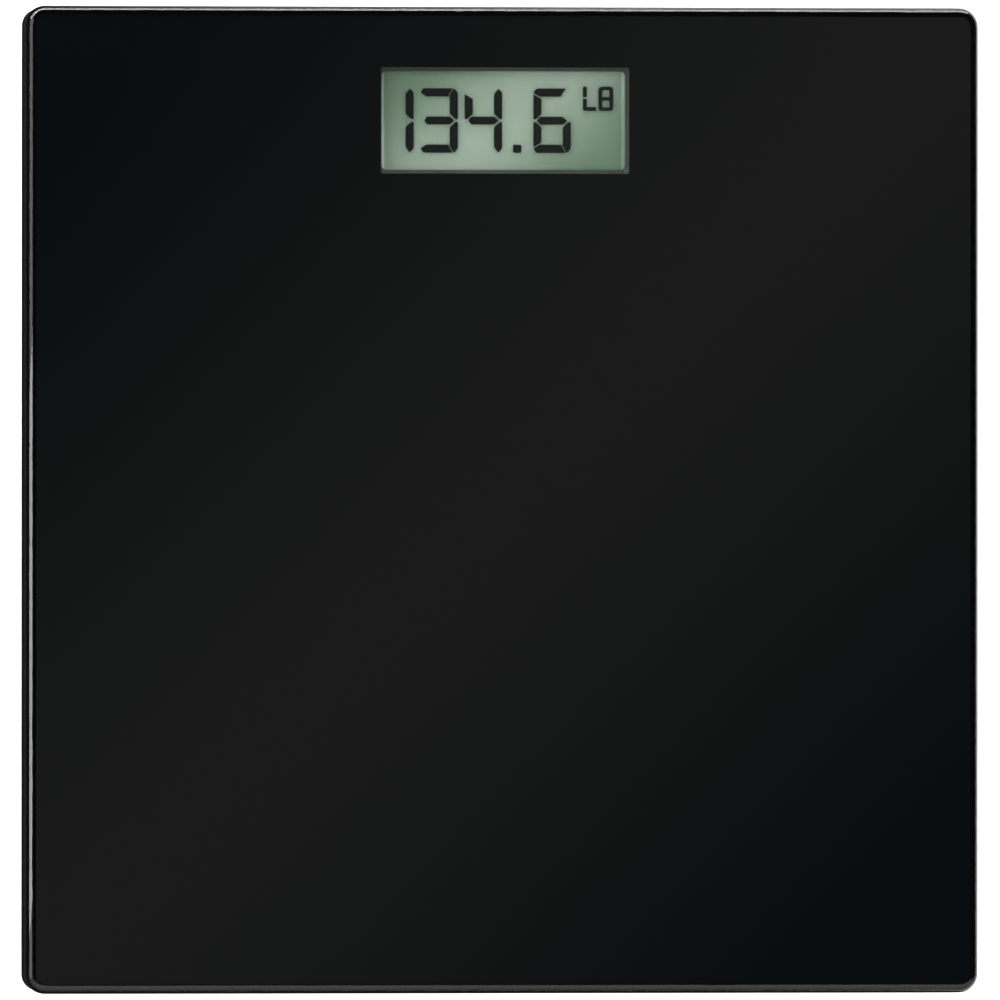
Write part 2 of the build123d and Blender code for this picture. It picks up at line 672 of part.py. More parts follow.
with BuildPart() as solder_joints:
    with BuildSketch(Plane.XY.offset(BOARD_TOP)):
        with Locations(*pads, *LEAD_PADS):
            Circle(0.72)
    extrude(amount=WIRE_REST - BOARD_TOP)
save(solder_joints, "solder_joints")

CHIP_AT = (14.0, 108.0)
with BuildPart() as chip_blob:
    with BuildSketch(Plane.XY.offset(BOARD_Z)):
        with Locations(CHIP_AT):
            Circle(7.0)
    extrude(amount=-1.2)
    fillet(chip_blob.faces().sort_by(Axis.Z)[0].edges(), 1.0)
save(chip_blob, "chip_blob")

with BuildPart() as board_capacitors:
    with BuildSketch(Plane.XY.offset(BOARD_Z - 1.1)):
        with Locations((-4.0, 118.0), (-4.0, 122.0), (28.0, 104.0), (28.0, 108.0), (0.0, 98.0)):
            Rectangle(3.0, 1.6)
    extrude(amount=1.1)
save(board_capacitors, "board_capacitors")

with BuildPart() as board_crystal:
    with BuildSketch(Plane.XY.offset(BOARD_Z - 1.6)):
        with Locations((14.0, 124.0)):
            SlotOverall(8.0, 3.0)
    extrude(amount=1.6)
save(board_crystal, "board_crystal")

# ---------------------------------------------------------------- units button and its switch
PLUNGER_TOP = BOARD_Z - SWITCH_T + 0.8
BUTTON_TOP = TRAY_Z + 1.8
with BuildPart() as unit_switch:
    with BuildSketch(Plane.XY.offset(BOARD_Z - SWITCH_T)):
        with Locations((BUTTON_X, BUTTON_Y)):
            RectangleRounded(SWITCH_SIDE, SWITCH_SIDE, 0.5)
            Circle(PLUNGER_D / 2 + 0.35, mode=Mode.SUBTRACT)
    extrude(amount=SWITCH_T - 0.2)
    with BuildSketch(Plane.XY.offset(BOARD_Z - 0.2)):
        with Locations((BUTTON_X, BUTTON_Y)):
            RectangleRounded(SWITCH_SIDE, SWITCH_SIDE, 0.5)
    extrude(amount=0.2)
save(unit_switch, "unit_switch")

with BuildPart() as switch_plunger:
    with BuildSketch(Plane.XY.offset(BUTTON_TOP)):
        with Locations((BUTTON_X, BUTTON_Y)):
            Circle(PLUNGER_D / 2)
    extrude(amount=PLUNGER_TOP - BUTTON_TOP)
save(switch_plunger, "switch_plunger")

with BuildPart() as unit_button:
    with BuildSketch(Plane.XY.offset(TRAY_Z + 0.2)):
        with Locations((BUTTON_X, BUTTON_Y)):
            Circle(BUTTON_D / 2)
    extrude(amount=BUTTON_TOP - TRAY_Z - 0.2)
    with BuildSketch(Plane.XY.offset(BUTTON_TOP - BUTTON_FLANGE_T)):
        with Locations((BUTTON_X, BUTTON_Y)):
            Circle(BUTTON_FLANGE_D / 2)
    extrude(amount=BUTTON_FLANGE_T)
    fillet(unit_button.faces().sort_by(Axis.Z)[0].edges(), 0.4)
save(unit_button, "unit_button")

# ---------------------------------------------------------------- battery, its contacts and its door
with BuildPart() as coin_cell:
    with BuildSketch(Plane.XY.offset(COIN_Z)):
        with Locations((0, COIN_Y)):
            Circle(CELL_D / 2)
    extrude(amount=COIN_T - 0.4)
    fillet(coin_cell.faces().sort_by(Axis.Z)[0].edges(), 0.5)
    with BuildSketch(Plane.XY.offset(COIN_Z + COIN_T - 0.4)):
        with Locations((0, COIN_Y)):
            Circle(CELL_D / 2 - 1.2)
    extrude(amount=0.4)
save(coin_cell, "coin_cell")

with BuildPart() as negative_contact:
    with BuildSketch(Plane.YZ.offset(-2.0)):
        roof, cell_top = BOX_ROOF_Z, COIN_Z + COIN_T
        with BuildLine():
            Polyline(
                (COIN_Y - 2, cell_top), (COIN_Y + 2, cell_top), (COIN_Y + 5, roof - LEAF_T),
                (59.9, roof - LEAF_T), (59.9, WIRE_REST - LEAF_T), (64.5, WIRE_REST - LEAF_T),
                (64.5, WIRE_REST), (59.6, WIRE_REST), (59.6, roof), (COIN_Y + 4.8, roof),
                (COIN_Y + 1.9, cell_top + LEAF_T), (COIN_Y - 2, cell_top + LEAF_T), close=True,
            )
        make_face()
    extrude(amount=4.0)
save(negative_contact, "negative_contact")

with BuildPart() as positive_contact:
    with BuildSketch(Plane.XZ.offset(-COIN_Y - 2.5)):
        with BuildLine():
            Polyline(
                (CELL_D / 2, COIN_Z + 0.6), (CELL_D / 2 + LEAF_T, COIN_Z + 0.6),
                (CELL_D / 2 + LEAF_T, WIRE_REST - LEAF_T), (CELL_D / 2 + 3.4, WIRE_REST - LEAF_T),
                (CELL_D / 2 + 3.4, WIRE_REST), (CELL_D / 2, WIRE_REST), close=True,
            )
        make_face()
    extrude(amount=5.0)
save(positive_contact, "positive_contact")

LEAD_ROUTES = {
    "battery_lead_black": [(-1.0, 62.0), (-1.0, 71.0), (-11.0, 81.5), LEAD_PADS[0]],
    "battery_lead_red": [(12.4, COIN_Y), (12.4, 64.0), (17.0, 78.0), (11.0, 84.0), LEAD_PADS[1]],
}
for node, route in LEAD_ROUTES.items():
    save(wire(route, [4.0] * (len(route) - 2)), node)

DOOR_FRONT = BOX_FRONT + DOOR_GAP
DOOR_WIDE_TO = HINGE_Y - 3.0
with BuildPart() as battery_door:
    half = BOX_X / 2 - DOOR_GAP
    block(TRAY_Z, -half, half, DOOR_FRONT, DOOR_WIDE_TO, DOOR_T)
    block(TRAY_Z, -DOOR_BARREL_X / 2, DOOR_BARREL_X / 2, DOOR_WIDE_TO, HINGE_Y, DOOR_T)
    with BuildSketch(Plane.YZ.offset(-DOOR_BARREL_X / 2)):
        with Locations((HINGE_Y, HINGE_Z)):
            Circle(DOOR_BARREL_D / 2)
    extrude(amount=DOOR_BARREL_X)
    with BuildSketch(Plane.YZ.offset(-BOX_X / 2 - 0.3)):
        with Locations((HINGE_Y, HINGE_Z)):
            Circle(DOOR_STUB_D / 2)
    extrude(amount=BOX_X + 0.6)
    # grip ridges beside the finger scoop
    for row in range(3):
        y = DOOR_FRONT + 2.5 + 2.0 * row
        block(TRAY_Z, -5.0, 5.0, y - 0.4, y + 0.4, 0.3, Mode.SUBTRACT)
save(battery_door, "battery_door")

with BuildPart() as door_foam:
    with BuildSketch(Plane.XY.offset(TRAY_Z + DOOR_T)):
        with Locations((0, COIN_Y)):
            Circle(6.5)
    extrude(amount=COIN_Z - TRAY_Z - DOOR_T)
save(door_foam, "door_foam")
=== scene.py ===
import math

import bmesh
import bpy
from mathutils import Matrix, Vector


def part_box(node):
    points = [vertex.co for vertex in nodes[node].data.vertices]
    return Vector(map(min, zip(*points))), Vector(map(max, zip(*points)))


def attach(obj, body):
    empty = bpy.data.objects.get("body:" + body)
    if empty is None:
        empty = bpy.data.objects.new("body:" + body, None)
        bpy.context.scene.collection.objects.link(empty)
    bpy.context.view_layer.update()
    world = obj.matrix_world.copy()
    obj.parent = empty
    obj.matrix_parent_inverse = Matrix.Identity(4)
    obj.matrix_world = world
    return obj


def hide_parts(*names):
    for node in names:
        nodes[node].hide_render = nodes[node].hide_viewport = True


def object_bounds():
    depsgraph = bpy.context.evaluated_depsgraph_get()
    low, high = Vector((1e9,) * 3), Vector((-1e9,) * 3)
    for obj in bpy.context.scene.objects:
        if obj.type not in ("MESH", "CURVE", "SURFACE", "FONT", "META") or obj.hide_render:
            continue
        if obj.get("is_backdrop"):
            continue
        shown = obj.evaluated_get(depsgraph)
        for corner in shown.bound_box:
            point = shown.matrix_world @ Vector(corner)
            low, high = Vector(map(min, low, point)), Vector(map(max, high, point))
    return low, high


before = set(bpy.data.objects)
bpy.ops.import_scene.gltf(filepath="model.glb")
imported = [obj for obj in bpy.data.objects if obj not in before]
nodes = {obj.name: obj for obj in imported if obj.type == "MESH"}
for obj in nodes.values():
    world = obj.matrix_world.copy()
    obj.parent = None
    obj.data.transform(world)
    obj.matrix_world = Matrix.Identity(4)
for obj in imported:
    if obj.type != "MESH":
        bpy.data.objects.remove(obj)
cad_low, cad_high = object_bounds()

# ---------------------------------------------------------------- glass platform
# A 6 mm plate of tempered float glass, its edge ground to a pencil round and polished, so that the rim
# is a clear half-round bead. Float glass holds a little iron, which greens it only along long paths.
MM = 0.001


def linear(code):
    """The linear colour that a shader takes, from an sRGB hex value."""
    parts = [int(code[i : i + 2], 16) / 255 for i in (1, 3, 5)]
    return (*[c / 12.92 if c <= 0.04045 else ((c + 0.055) / 1.055) ** 2.4 for c in parts], 1.0)


def add_node(material, kind, settings=None, links=None):
    """Adds a node, gives its properties or sockets the settings, and links its sockets to others' outputs."""
    node = material.node_tree.nodes.new(kind)
    for key, value in (settings or {}).items():
        if isinstance(key, str) and hasattr(node, key):
            setattr(node, key, value)
        else:
            node.inputs[key].default_value = value
    for key, source in (links or {}).items():
        material.node_tree.links.new(source, node.inputs[key])
    return node


def new_material(name):
    """An empty node material, and the object coordinates that its patterns are laid on."""
    material = bpy.data.materials.new(name)
    material.use_nodes = True
    material.node_tree.nodes.clear()
    return material, add_node(material, "ShaderNodeTexCoord").outputs["Object"]


def dress(names, material):
    """Gives CAD nodes this material in place of their plain one."""
    for name in names:
        nodes[name].data.materials.clear()
        nodes[name].data.materials.append(material)


GLASS_TINT = "#fafcfb"
GLASS_DEPTH = "#3f6b5c"
GLASS_ABSORBS = 9.0
ROLLER_WAVE = 90 * MM

float_glass, spot = new_material("tempered_float_glass")
# a faint waviness, left by the tempering oven's rollers
wave = add_node(
    float_glass, "ShaderNodeTexNoise", {"Scale": 1 / ROLLER_WAVE, "Detail": 1.0}, {"Vector": spot}
)
roller = add_node(
    float_glass, "ShaderNodeBump", {"Strength": 0.02, "Distance": 0.4 * MM}, {"Height": wave.outputs["Fac"]}
)
plate = add_node(
    float_glass,
    "ShaderNodeBsdfPrincipled",
    {"Base Color": linear(GLASS_TINT), "Roughness": 0.0, "IOR": 1.52, "Transmission Weight": 1.0},
    {"Normal": roller.outputs["Normal"]},
)
# light for what lies under the plate goes straight through it
through = add_node(float_glass, "ShaderNodeBsdfTransparent", {"Color": linear("#eef6f2")})
path = add_node(float_glass, "ShaderNodeLightPath")
shine = plate
for ray in ("Is Shadow Ray", "Is Diffuse Ray"):
    shine = add_node(
        float_glass,
        "ShaderNodeMixShader",
        {},
        {0: path.outputs[ray], 1: shine.outputs[0], 2: through.outputs[0]},
    )
depth = add_node(
    float_glass, "ShaderNodeVolumeAbsorption", {"Color": linear(GLASS_DEPTH), "Density": GLASS_ABSORBS}
)
add_node(
    float_glass, "ShaderNodeOutputMaterial", {}, {"Surface": shine.outputs[0], "Volume": depth.outputs[0]}
)


def settle(form, name, material):
    """Makes a finished form into a piece of the housing."""
    bmesh.ops.recalc_face_normals(form, faces=form.faces)
    mesh = bpy.data.meshes.new(name)
    form.to_mesh(mesh)
    form.free()
    mesh.materials.append(material)
    piece = bpy.data.objects.new(name, mesh)
    bpy.context.scene.collection.objects.link(piece)
    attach(piece, "housing")
    return piece


PLATE_CORNER = 6.0 * MM
EDGE_ROUND = 2.9 * MM
CORNER_STEPS = 24
EDGE_STEPS = 14

low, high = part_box("glass_platform")
form = bmesh.new()
bmesh.ops.create_cube(form, size=1.0)
bmesh.ops.scale(form, vec=high - low, verts=form.verts)
bmesh.ops.translate(form, vec=(low + high) / 2, verts=form.verts)
upright = [edge for edge in form.edges if abs(edge.verts[0].co.z - edge.verts[1].co.z) > EDGE_ROUND]
bmesh.ops.bevel(
    form, geom=upright, offset=PLATE_CORNER, segments=CORNER_STEPS, profile=0.5, affect="EDGES"
)
level = [edge for edge in form.edges if abs(edge.verts[0].co.z - edge.verts[1].co.z) < EDGE_ROUND]
bmesh.ops.bevel(form, geom=level, offset=EDGE_ROUND, segments=EDGE_STEPS, profile=0.5, affect="EDGES")
# the two flat faces stay flat, and the round between them is smooth
for side in form.faces:
    side.smooth = abs(side.normal.z) < 0.9999
for edge in form.edges:
    edge.smooth = all(side.smooth for side in edge.link_faces)
pencil_edged_plate = settle(form, "pencil_edged_plate", float_glass)
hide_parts("glass_platform")

# ---------------------------------------------------------------- back print
# Black ceramic enamel, screen printed on the underside and fired into the glass as it was tempered.
# No air lies between them, so the enamel's top is a hair inside the plate. Its window has sharp edges.


def eased_form(node, up=0.0, down=0.0):
    """A merged copy of a CAD node's mesh, its top raised by up and its bottom raised by down."""
    form = bmesh.new()
    form.from_mesh(nodes[node].data)
    bmesh.ops.remove_doubles(form, verts=form.verts, dist=0.001 * MM)
    low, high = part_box(node)
    middle = (low.z + high.z) / 2
    top = [v for v in form.verts if v.co.z > middle]
    bottom = [v for v in form.verts if v.co.z <= middle]
    bmesh.ops.translate(form, vec=(0, 0, up), verts=top)
    bmesh.ops.translate(form, vec=(0, 0, down), verts=bottom)
    return form


ENAMEL_SINK = 0.03 * MM
SCREEN_MESH = 1.0 * MM

enamel, spot = new_material("fired_black_enamel")
# the printing screen's mesh mottles the black, finer than this in truth
screen = add_node(enamel, "ShaderNodeTexNoise", {"Scale": 1 / SCREEN_MESH, "Detail": 2.0}, {"Vector": spot})
black = add_node(
    enamel,
    "ShaderNodeMix",
    {"data_type": "RGBA", 6: linear("#010101"), 7: linear("#020202")},
    {0: screen.outputs["Fac"]},
)
fired = add_node(
    enamel,
    "ShaderNodeBsdfPrincipled",
    {"Roughness": 0.7, "Specular IOR Level": 0.01},
    {"Base Color": black.outputs[2]},
)
add_node(enamel, "ShaderNodeOutputMaterial", {}, {"Surface": fired.outputs[0]})
form = eased_form("back_print", up=ENAMEL_SINK)
enamel_print = settle(form, "enamel_print", enamel)
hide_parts("back_print")

# a band of the black enamel is laid a little way up the lower round, which keeps the rim black
LAP_DEGREES = 34
LAP_STEPS = 8
LAP_T = 0.12 * MM

low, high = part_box("glass_platform")
flat = (high - low) / 2 - Vector((EDGE_ROUND, EDGE_ROUND, 0))
turn = PLATE_CORNER - EDGE_ROUND
form = bmesh.new()
rings = []
for step in range(2 * LAP_STEPS + 2):
    inside = step <= LAP_STEPS
    share = (step if inside else 2 * LAP_STEPS + 1 - step) / LAP_STEPS
    slope = math.radians(LAP_DEGREES) * share
    reach = EDGE_ROUND + (-ENAMEL_SINK if inside else LAP_T)
    out = reach * math.sin(slope)
    z = low.z + EDGE_ROUND - reach * math.cos(slope)
    ring = []
    for quarter, (side, end) in enumerate(((1, 1), (-1, 1), (-1, -1), (1, -1))):
        for spoke in range(CORNER_STEPS + 1):
            angle = math.pi / 2 * (quarter + spoke / CORNER_STEPS)
            x = side * (flat.x - turn) + (turn + out) * math.cos(angle)
            y = end * (flat.y - turn) + (turn + out) * math.sin(angle)
            ring.append(form.verts.new((x, y, z)))
    rings.append(ring)
for ring, beyond in zip(rings, rings[1:] + rings[:1]):
    for at in range(len(ring)):
        after = (at + 1) % len(ring)
        form.faces.new((ring[at], ring[after], beyond[after], beyond[at]))
settle(form, "enamel_lap", enamel)

# ---------------------------------------------------------------- bonding tape, gasket and door pad
# Black polyethylene foam with adhesive on both faces: a frame and four discs that hold the glass, a ring
# that keeps dust off the display, and a pad that stops the coin cell from rattling.
FOAM_CELL = 0.35 * MM

foam, spot = new_material("closed_cell_pe_foam")
cells = add_node(foam, "ShaderNodeTexVoronoi", {"Scale": 1 / FOAM_CELL}, {"Vector": spot})
skin = add_node(
    foam,
    "ShaderNodeMix",
    {"data_type": "RGBA", 6: linear("#0b0b0b"), 7: linear("#1a1a1b")},
    {0: cells.outputs["Distance"]},
)
pores = add_node(
    foam, "ShaderNodeBump", {"Strength": 0.5, "Distance": 0.05 * MM}, {"Height": cells.outputs["Distance"]}
)
pressed = add_node(
    foam,
    "ShaderNodeBsdfPrincipled",
    {"Roughness": 0.85, "Specular IOR Level": 0.3},
    {"Base Color": skin.outputs[2], "Normal": pores.outputs["Normal"]},
)
add_node(foam, "ShaderNodeOutputMaterial", {}, {"Surface": pressed.outputs[0]})
dress(["bonding_tape", "display_gasket", "door_foam"], foam)

# ---------------------------------------------------------------- moulded plastics
# ABS, injection moulded in tools with a spark-eroded finish, which leaves an even sand-like grain. The
# tray, door and rings are black, the display's frame is dark grey, and the clamps are left ivory.
CORNERS = ("front_left", "front_right", "rear_left", "rear_right")


def moulded_abs(name, colour, worn, grain, roughness, gloss=0.5):
    """ABS of one colour, with the tool's grain and the slight unevenness of a moulded surface."""
    material, spot = new_material(name)
    sand = add_node(material, "ShaderNodeTexNoise", {"Scale": 1 / grain, "Detail": 3.0}, {"Vector": spot})
    flow = add_node(material, "ShaderNodeTexNoise", {"Scale": 1 / (45 * MM), "Detail": 4.0}, {"Vector": spot})
    tone = add_node(
        material,
        "ShaderNodeMix",
        {"data_type": "RGBA", 6: linear(colour), 7: linear(worn)},
        {0: flow.outputs["Fac"]},
    )
    matt = add_node(
        material,
        "ShaderNodeMapRange",
        {"To Min": roughness - 0.07, "To Max": roughness + 0.07},
        {"Value": flow.outputs["Fac"]},
    )
    relief = add_node(
        material, "ShaderNodeBump", {"Strength": 0.6, "Distance": grain / 12}, {"Height": sand.outputs["Fac"]}
    )
    shell = add_node(
        material,
        "ShaderNodeBsdfPrincipled",
        {"IOR": 1.54, "Specular IOR Level": gloss},
        {
            "Base Color": tone.outputs[2],
            "Roughness": matt.outputs["Result"],
            "Normal": relief.outputs["Normal"],
        },
    )
    add_node(material, "ShaderNodeOutputMaterial", {}, {"Surface": shell.outputs[0]})
    return material


black_abs = moulded_abs("black_moulded_abs", "#080809", "#0e0e0f", 0.5 * MM, 0.62, gloss=0.1)
dress(["base_tray", "battery_door"] + [f"foot_ring_{corner}" for corner in CORNERS], black_abs)
bezel_abs = moulded_abs("dark_grey_bezel_abs", "#262826", "#2f322f", 0.35 * MM, 0.45)
dress(["display_frame"], bezel_abs)
ivory_abs = moulded_abs("unpainted_ivory_abs", "#cfc9b6", "#d9d3c2", 0.6 * MM, 0.42)
dress([f"load_cell_clamp_{corner}" for corner in CORNERS], ivory_abs)
foot_abs = moulded_abs("charcoal_foot_abs", "#232425", "#2c2d2e", 0.4 * MM, 0.48)
dress([f"foot_cup_{corner}" for corner in CORNERS], foot_abs)
button_abs = moulded_abs("grey_button_abs", "#85878a", "#8f9194", 0.3 * MM, 0.38)
dress(["unit_button", "switch_plunger"], button_abs)
switch_abs = moulded_abs("black_switch_nylon", "#1d1d1d", "#262626", 0.25 * MM, 0.5)
dress(["unit_switch"], switch_abs)

# ---------------------------------------------------------------- display
# A reflective liquid crystal display: two thin panes with the crystal between them, an anti-glare
# polariser in front and a grey-green reflecting polariser behind, pressed up into the frame. Rubber
# strips of carbon and silicone layers join its rows of contacts to the board.
PANE_EASE = 0.012 * MM
FILM_GRAIN = 0.25 * MM
# the film's own grey-green, and the brighter colour painted at the crest of its highlight band
REFLECTOR_DARK = "#8d988c"
REFLECTOR_PAINTED_HIGHLIGHT = "#cecacb"

low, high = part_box("lcd_reflector")
display_middle = (low + high) / 2

reflecting, spot = new_material("grey_green_reflecting_polariser")
centred = add_node(
    reflecting, "ShaderNodeMapping", {"vector_type": "TEXTURE", "Location": display_middle}, {"Vector": spot}
)
# a painted highlight: the film's colour is brightened in a band across the diagonal, standing in for the
# sheen of light on it
HIGHLIGHT_BAND_TURN = math.radians(-47)
HIGHLIGHT_BAND_REACH = 21 * MM
turned = add_node(
    reflecting,
    "ShaderNodeMapping",
    {"vector_type": "TEXTURE", "Rotation": (0, 0, HIGHLIGHT_BAND_TURN), "Scale": (HIGHLIGHT_BAND_REACH,) * 3},
    {"Vector": centred.outputs[0]},
)
across = add_node(reflecting, "ShaderNodeSeparateXYZ", {}, {0: turned.outputs[0]})
away = add_node(reflecting, "ShaderNodeMath", {"operation": "ABSOLUTE"}, {0: across.outputs["X"]})
painted_highlight = add_node(
    reflecting,
    "ShaderNodeMapRange",
    {"interpolation_type": "SMOOTHSTEP", "From Min": 0.1, "From Max": 1.5, "To Min": 1.0, "To Max": 0.0},
    {"Value": away.outputs[0]},
)
tone = add_node(
    reflecting,
    "ShaderNodeMix",
    {"data_type": "RGBA", 6: linear(REFLECTOR_DARK), 7: linear(REFLECTOR_PAINTED_HIGHLIGHT)},
    {0: painted_highlight.outputs["Result"]},
)
specks = add_node(
    reflecting, "ShaderNodeTexNoise", {"Scale": 1 / FILM_GRAIN, "Detail": 2.0}, {"Vector": spot}
)
grain = add_node(
    reflecting, "ShaderNodeBump", {"Strength": 0.2, "Distance": 0.01 * MM}, {"Height": specks.outputs["Fac"]}
)
film = add_node(
    reflecting,
    "ShaderNodeBsdfPrincipled",
    {"Roughness": 0.55, "Specular IOR Level": 0.2},
    {"Base Color": tone.outputs[2], "Normal": grain.outputs["Normal"]},
)
add_node(reflecting, "ShaderNodeOutputMaterial", {}, {"Surface": film.outputs[0]})
dress(["lcd_reflector"], reflecting)


def clear_pane(name, tint, mirrors, roughness, grain):
    """A thin clear sheet: it passes light unbent with its tint, and mirrors a little of it."""
    material, spot = new_material(name)
    fine = add_node(material, "ShaderNodeTexNoise", {"Scale": 1 / grain, "Detail": 1.0}, {"Vector": spot})
    ripple = add_node(
        material, "ShaderNodeBump", {"Strength": 0.1, "Distance": 0.004 * MM}, {"Height": fine.outputs["Fac"]}
    )
    sheen = add_node(
        material,
        "ShaderNodeBsdfAnisotropic",
        {"Roughness": roughness, "Color": linear("#ffffff")},
        {"Normal": ripple.outputs["Normal"]},
    )
    clear = add_node(material, "ShaderNodeBsdfTransparent", {"Color": linear(tint)})
    pane = add_node(
        material, "ShaderNodeMixShader", {0: mirrors}, {1: clear.outputs[0], 2: sheen.outputs[0]}
    )
    add_node(material, "ShaderNodeOutputMaterial", {}, {"Surface": pane.outputs[0]})
    return material


anti_glare = clear_pane("anti_glare_polariser_film", "#dbdfd9", 0.002, 0.35, 0.3 * MM)
thin_glass = clear_pane("polished_soda_lime_pane", "#fcfdfc", 0.002, 0.05, 60 * MM)
for node, material, finish in (
    ("lcd_front_polariser", anti_glare, "lcd_polariser_film"),
    ("lcd_front_glass", thin_glass, "lcd_glass"),
    ("lcd_rear_glass", thin_glass, "lcd_glass"),
):
    # faces that touch are drawn a hair apart, so that each has one place
    form = eased_form(node, up=-PANE_EASE, down=PANE_EASE)
    sheet = settle(form, node + "_pane", material)
    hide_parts(node)
    sheet.visible_shadow = False
    sheet.visible_diffuse = False

crystal, spot = new_material("dark_liquid_crystal")
drift = add_node(crystal, "ShaderNodeTexNoise", {"Scale": 1 / (4 * MM), "Detail": 2.0}, {"Vector": spot})
ink = add_node(
    crystal,
    "ShaderNodeMix",
    {"data_type": "RGBA", 6: linear("#000000"), 7: linear("#030303")},
    {0: drift.outputs["Fac"]},
)
segment = add_node(
    crystal,
    "ShaderNodeBsdfPrincipled",
    {"Roughness": 0.5, "Specular IOR Level": 0.0},
    {"Base Color": ink.outputs[2]},
)
add_node(crystal, "ShaderNodeOutputMaterial", {}, {"Surface": segment.outputs[0]})
dress(["lcd_segments"], crystal)

# the strips' layers are a tenth of a millimetre, drawn at half a millimetre
LAYER_PITCH = 0.5 * MM
layered, spot = new_material("carbon_and_silicone_layers")
stripes = add_node(
    layered,
    "ShaderNodeTexWave",
    {"bands_direction": "X", "Scale": math.pi / (10 * LAYER_PITCH), "Distortion": 0.0},
    {"Vector": spot},
)
stack = add_node(
    layered,
    "ShaderNodeMix",
    {"data_type": "RGBA", 6: linear("#1a1718"), 7: linear("#d99a9a")},
    {0: stripes.outputs["Fac"]},
)
silicone_strip = add_node(
    layered, "ShaderNodeBsdfPrincipled", {"Roughness": 0.6}, {"Base Color": stack.outputs[2]}
)
add_node(layered, "ShaderNodeOutputMaterial", {}, {"Surface": silicone_strip.outputs[0]})
dress(["zebra_strip_front", "zebra_strip_rear"], layered)

# ---------------------------------------------------------------- circuit board and what is on it
# A one-sided epoxy glass board with green solder mask over copper tracks. Its chip is bonded bare and
# sealed under a drop of black epoxy, and the wires are soldered to tinned pads by hand.
TRACK_PITCH = 1.27 * MM

laminate, spot = new_material("solder_masked_epoxy_glass")
tracks = []
for direction in ("X", "Y"):
    lines = add_node(
        laminate,
        "ShaderNodeTexWave",
        {"bands_direction": direction, "Scale": math.pi / (10 * TRACK_PITCH), "Distortion": 0.0},
        {"Vector": spot},
    )
    track = add_node(
        laminate, "ShaderNodeMath", {"operation": "GREATER_THAN", 1: 0.72}, {0: lines.outputs["Fac"]}
    )
    tracks.append(track)
areas = add_node(
    laminate, "ShaderNodeTexVoronoi", {"Scale": 1 / (9 * MM), "distance": "CHEBYCHEV"}, {"Vector": spot}
)
choose = add_node(laminate, "ShaderNodeSeparateXYZ", {}, {0: areas.outputs["Color"]})
side = add_node(laminate, "ShaderNodeMath", {"operation": "GREATER_THAN", 1: 0.5}, {0: choose.outputs["X"]})
copper = add_node(
    laminate,
    "ShaderNodeMix",
    {"data_type": "FLOAT"},
    {0: side.outputs[0], 2: tracks[0].outputs[0], 3: tracks[1].outputs[0]},
)
mask = add_node(
    laminate,
    "ShaderNodeMix",
    {"data_type": "RGBA", 6: linear("#0b3a1c"), 7: linear("#1d6b34")},
    {0: copper.outputs[0]},
)
raised = add_node(
    laminate, "ShaderNodeBump", {"Strength": 0.4, "Distance": 0.03 * MM}, {"Height": copper.outputs[0]}
)
board = add_node(
    laminate,
    "ShaderNodeBsdfPrincipled",
    {"Roughness": 0.3, "Coat Weight": 0.3},
    {"Base Color": mask.outputs[2], "Normal": raised.outputs["Normal"]},
)
add_node(laminate, "ShaderNodeOutputMaterial", {}, {"Surface": board.outputs[0]})
dress(["circuit_board"], laminate)


def worked_metal(name, colour, shade, lay, roughness, stretch):
    """Metal with the fine lines of how it was worked, which run along Y when stretch is over one."""
    material, spot = new_material(name)
    drawn = add_node(material, "ShaderNodeMapping", {"Scale": (1, 1 / stretch, 1)}, {"Vector": spot})
    lines = add_node(
        material, "ShaderNodeTexNoise", {"Scale": 1 / lay, "Detail": 4.0}, {"Vector": drawn.outputs[0]}
    )
    tarnish = add_node(
        material, "ShaderNodeTexNoise", {"Scale": 1 / (7 * MM), "Detail": 3.0}, {"Vector": spot}
    )
    tone = add_node(
        material,
        "ShaderNodeMix",
        {"data_type": "RGBA", 6: linear(colour), 7: linear(shade)},
        {0: tarnish.outputs["Fac"]},
    )
    dull = add_node(
        material,
        "ShaderNodeMapRange",
        {"To Min": roughness * 0.7, "To Max": roughness * 1.3},
        {"Value": lines.outputs["Fac"]},
    )
    scratches = add_node(
        material,
        "ShaderNodeBump",
        {"Strength": 0.15, "Distance": 0.01 * MM},
        {"Height": lines.outputs["Fac"]},
    )
    metal = add_node(
        material,
        "ShaderNodeBsdfPrincipled",
        {"Metallic": 1.0},
        {
            "Base Color": tone.outputs[2],
            "Roughness": dull.outputs["Result"],
            "Normal": scratches.outputs["Normal"],
        },
    )
    add_node(material, "ShaderNodeOutputMaterial", {}, {"Surface": metal.outputs[0]})
    return material


dress(["solder_joints"], worked_metal("bright_tin_solder", "#c9cbcd", "#aeb0b3", 0.5 * MM, 0.22, 1))
dress(["board_crystal"], worked_metal("drawn_nickel_can", "#c4c0b6", "#b0aca2", 0.3 * MM, 0.25, 4))
zinc = worked_metal("blue_zinc_plated_steel", "#c3c8ce", "#a9afb8", 0.3 * MM, 0.32, 1)
dress(["board_screws", "clamp_screws"], zinc)


def cured_resin(name, colour, shade, size, roughness, coat):
    """A poured or dipped body, smooth but not quite even."""
    material, spot = new_material(name)
    mottle = add_node(material, "ShaderNodeTexNoise", {"Scale": 1 / size, "Detail": 3.0}, {"Vector": spot})
    tone = add_node(
        material,
        "ShaderNodeMix",
        {"data_type": "RGBA", 6: linear(colour), 7: linear(shade)},
        {0: mottle.outputs["Fac"]},
    )
    relief = add_node(
        material,
        "ShaderNodeBump",
        {"Strength": 0.3, "Distance": size / 20},
        {"Height": mottle.outputs["Fac"]},
    )
    cured = add_node(
        material,
        "ShaderNodeBsdfPrincipled",
        {"Roughness": roughness, "Coat Weight": coat},
        {"Base Color": tone.outputs[2], "Normal": relief.outputs["Normal"]},
    )
    add_node(material, "ShaderNodeOutputMaterial", {}, {"Surface": cured.outputs[0]})
    return material


